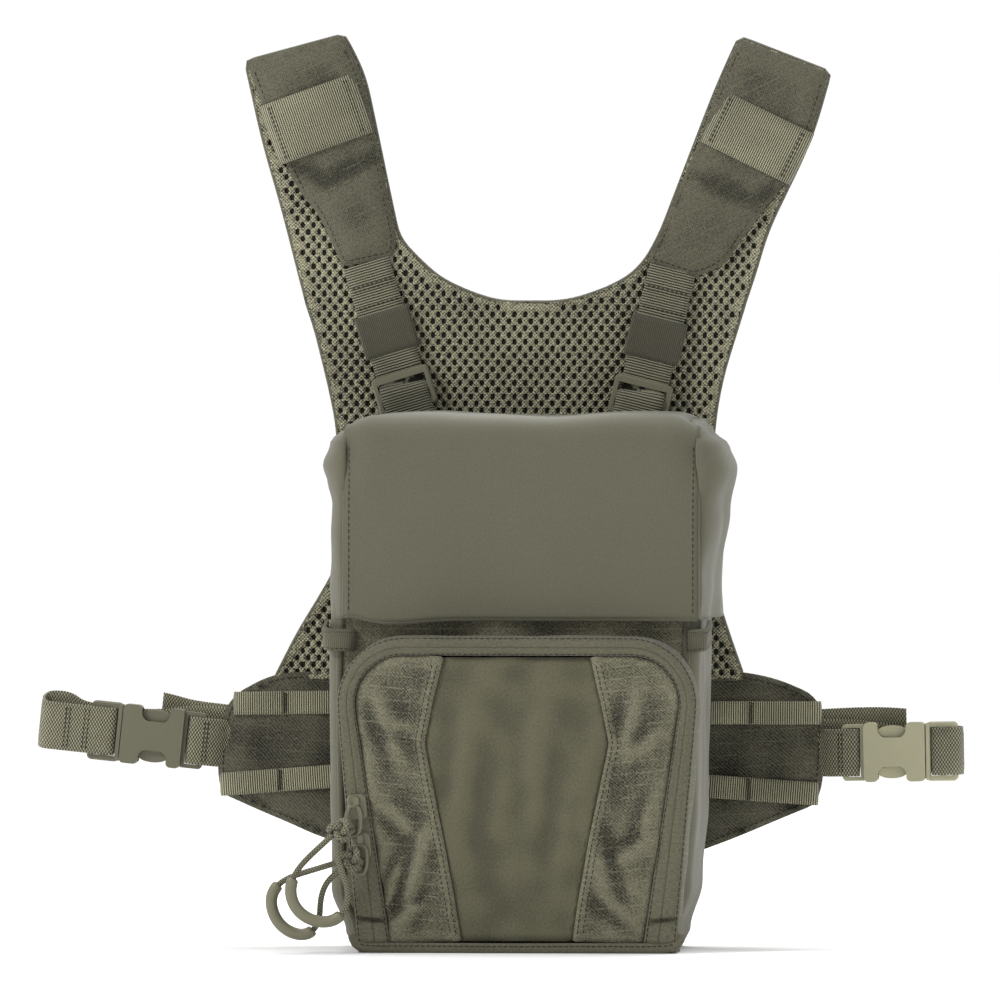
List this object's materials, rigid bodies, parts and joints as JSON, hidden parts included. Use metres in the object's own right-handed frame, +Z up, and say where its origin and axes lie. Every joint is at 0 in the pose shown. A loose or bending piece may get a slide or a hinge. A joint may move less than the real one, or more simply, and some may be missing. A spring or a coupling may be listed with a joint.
{
  "type": "binocular harness pack",
  "caption": "Chest pouch for a binocular with a forward-opening lid and zipped front pocket, on a padded mesh harness with side-release buckles.",
  "frame": {"origin": "centre of the pouch's flat bottom, where it stands", "axes": "+Z up, -Y out of the pouch's front, +X to the right seen from the front"},
  "size_m": [0.3926, 0.1355, 0.3835],
  "materials": {
    "softshell": "smooth softshell",
    "ripstop": "ripstop weave",
    "stretch_fabric": "smooth stretch weave",
    "air_mesh": "open spacer mesh",
    "webbing": "ribbed webbing",
    "elastic": "woven elastic",
    "zipper_tape": "twill tape",
    "moulded_plastic": "matt moulded",
    "painted_zinc": "matt enamel",
    "pull_cord": "braided",
    "pull_grip": "satin moulded",
    "foam": "closed cell",
    "stiffener": "sheet",
    "magnet": "plated"
  },
  "bodies": {
    "pouch": {"front_panel": "softshell", "back_panel": "softshell", "side_panel_left": "softshell", "side_panel_right": "softshell", "bottom_panel": "softshell", "back_foam": "foam", "magnets_body": "magnet", "keeper_tabs": "elastic", "pocket_gusset": "ripstop", "pocket_gusset_bottom": "ripstop", "bottom_binding": "zipper_tape", "zipper_tape_outer": "zipper_tape"},
    "lid": {"lid_front": "softshell", "lid_top": "softshell", "lid_stiffener": "stiffener", "lid_gusset_left": "softshell", "lid_gusset_right": "softshell", "magnets_lid": "magnet"},
    "pocket_panel": {"zipper_tape_inner": "zipper_tape", "pocket_centre_panel": "stretch_fabric", "pocket_side_panel_left": "ripstop", "pocket_side_panel_right": "ripstop"},
    "zip_upper": {"slider_upper": "painted_zinc"},
    "zip_lower": {"slider_lower": "painted_zinc"},
    "pull_upper": {"puller_upper": "painted_zinc", "knot_upper": "pull_cord", "cord_upper": "pull_cord", "grip_upper": "pull_grip"},
    "pull_lower": {"puller_lower": "painted_zinc", "knot_lower": "pull_cord", "cord_lower": "pull_cord", "grip_lower": "pull_grip"},
    "harness": {"mesh_yoke": "air_mesh", "shoulder_pad_left": "ripstop", "shoulder_pad_right": "ripstop", "cross_bands": "webbing", "wing_left": "ripstop", "wing_right": "ripstop", "wing_bands_left": "webbing", "wing_bands_right": "webbing", "strap_upper_left": "webbing", "strap_upper_right": "webbing", "lower_straps": "webbing", "wing_webbing_left": "webbing", "wing_webbing_right": "webbing", "buckle_female_left": "moulded_plastic", "buckle_female_right": "moulded_plastic"},
    "male_left": {"buckle_male_left": "moulded_plastic", "side_strap_left": "webbing"},
    "prong_upper_left": {"prong_upper_left": "moulded_plastic"},
    "prong_lower_left": {"prong_lower_left": "moulded_plastic"},
    "keeper_left": {"elastic_keeper_left": "elastic"},
    "adjust_left": {"adjuster_left": "moulded_plastic"},
    "male_right": {"buckle_male_right": "moulded_plastic", "side_strap_right": "webbing"},
    "prong_upper_right": {"prong_upper_right": "moulded_plastic"},
    "prong_lower_right": {"prong_lower_right": "moulded_plastic"},
    "keeper_right": {"elastic_keeper_right": "elastic"},
    "adjust_right": {"adjuster_right": "moulded_plastic"}
  },
  "joints": [
    {"name": "harness_swing", "type": "hinge", "parent": "pouch", "child": "harness", "pos_m": [0, 0.044, 0.226], "axis": [1, 0, 0], "range_deg": [0, 30]},
    {"name": "lid_hinge", "type": "hinge", "parent": "pouch", "child": "lid", "pos_m": [0, -0.041, 0.138], "axis": [1, 0, 0], "range_deg": [0, 95]},
    {"name": "pocket_hinge", "type": "hinge", "parent": "pouch", "child": "pocket_panel", "pos_m": [0, -0.062, 0.004], "axis": [1, 0, 0], "range_deg": [0, 60]},
    {"name": "slider_upper_run", "type": "slide", "parent": "pocket_panel", "child": "zip_upper", "axis": [-0.1087, 0, 0.9941], "range_m": [0, 0.035]},
    {"name": "slider_lower_run", "type": "slide", "parent": "pocket_panel", "child": "zip_lower", "axis": [-0.1087, 0, 0.9941], "range_m": [-0.004, 0]},
    {"name": "pull_upper_swing", "type": "hinge", "parent": "zip_upper", "child": "pull_upper", "pos_m": [-0.06673, -0.0666, 0.061], "axis": [-1, 0, 0], "range_deg": [0, 60]},
    {"name": "pull_lower_swing", "type": "hinge", "parent": "zip_lower", "child": "pull_lower", "pos_m": [-0.06498, -0.0666, 0.045], "axis": [-1, 0, 0], "range_deg": [0, 3]},
    {"name": "buckle_left_release", "type": "slide", "parent": "harness", "child": "male_left", "axis": [-0.9945, 0, 0.1045], "range_m": [0, 0.024]},
    {"name": "prong_upper_left_press", "type": "hinge", "parent": "male_left", "child": "prong_upper_left", "pos_m": [-0.1761, 0.047, 0.09713], "axis": [0, 1, 0], "range_deg": [0, 8], "stiffness_Nm_per_rad": 0.15},
    {"name": "prong_lower_left_press", "type": "hinge", "parent": "male_left", "child": "prong_lower_left", "pos_m": [-0.17783, 0.047, 0.08062], "axis": [0, -1, 0], "range_deg": [0, 8], "stiffness_Nm_per_rad": 0.15},
    {"name": "buckle_right_release", "type": "slide", "parent": "harness", "child": "male_right", "axis": [0.9998, 0, 0.0175], "range_m": [0, 0.024]},
    {"name": "prong_upper_right_press", "type": "hinge", "parent": "male_right", "child": "prong_upper_right", "pos_m": [0.16335, 0.047, 0.09004], "axis": [0, -1, 0], "range_deg": [0, 8], "stiffness_Nm_per_rad": 0.15},
    {"name": "prong_lower_right_press", "type": "hinge", "parent": "male_right", "child": "prong_lower_right", "pos_m": [0.16364, 0.047, 0.07344], "axis": [0, 1, 0], "range_deg": [0, 8], "stiffness_Nm_per_rad": 0.15},
    {"name": "keeper_left_slide", "type": "slide", "parent": "harness", "child": "keeper_left", "axis": [-0.2938, 0, 0.9559], "range_m": [0, 0.012]},
    {"name": "adjuster_left_slide", "type": "slide", "parent": "harness", "child": "adjust_left", "axis": [-0.2938, 0, 0.9559], "range_m": [0, 0.006]},
    {"name": "keeper_right_slide", "type": "slide", "parent": "harness", "child": "keeper_right", "axis": [0.2369, 0, 0.9715], "range_m": [0, 0.012]},
    {"name": "adjuster_right_slide", "type": "slide", "parent": "harness", "child": "adjust_right", "axis": [0.2369, 0, 0.9715], "range_m": [0, 0.006]}
  ],
  "couplings": [
    {"joint": "prong_lower_left_press", "follows": "prong_upper_left_press", "ratio": 1},
    {"joint": "prong_lower_right_press", "follows": "prong_upper_right_press", "ratio": 1}
  ]
}
